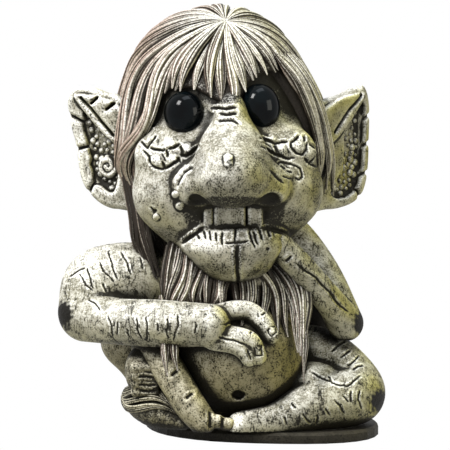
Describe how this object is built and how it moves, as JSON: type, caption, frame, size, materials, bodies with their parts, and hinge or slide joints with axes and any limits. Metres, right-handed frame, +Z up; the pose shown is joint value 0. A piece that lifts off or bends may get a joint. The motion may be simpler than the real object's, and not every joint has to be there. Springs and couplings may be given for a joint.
{
  "type": "resin troll figure",
  "caption": "Seated folk troll ornament in antiqued stone-look resin, chin leaning on a hand, with long hair, large ears and dark glass eyes, on a thin plinth.",
  "frame": {"origin": "centre of the whole figure's box, on the surface that the plinth stands on", "axes": "+Z up, -Y is the way the face looks, +X is the figure's left side"},
  "size_m": [0.1516, 0.1274, 0.2003],
  "materials": {
    "resin": "stone-filled resin, dark wash in the hollows, pale dry brush on the high spots",
    "hair_resin": "stone-filled resin, brown wash in the grooves",
    "eye_glass": "polished black glass",
    "pin_steel": "plain rod"
  },
  "bodies": {
    "root": {"plinth": "resin", "body": "resin", "head": "resin", "leg_right": "resin", "leg_left": "resin", "foot_left": "resin", "arm_right": "resin", "arm_left": "resin", "ear_right": "resin", "ear_left": "resin", "hair": "hair_resin", "beard": "hair_resin", "tail": "hair_resin", "eye_right": "eye_glass", "eye_left": "eye_glass", "neck_pin": "pin_steel", "arm_pin_right": "pin_steel", "arm_pin_left": "pin_steel"}
  },
  "joints": []
}
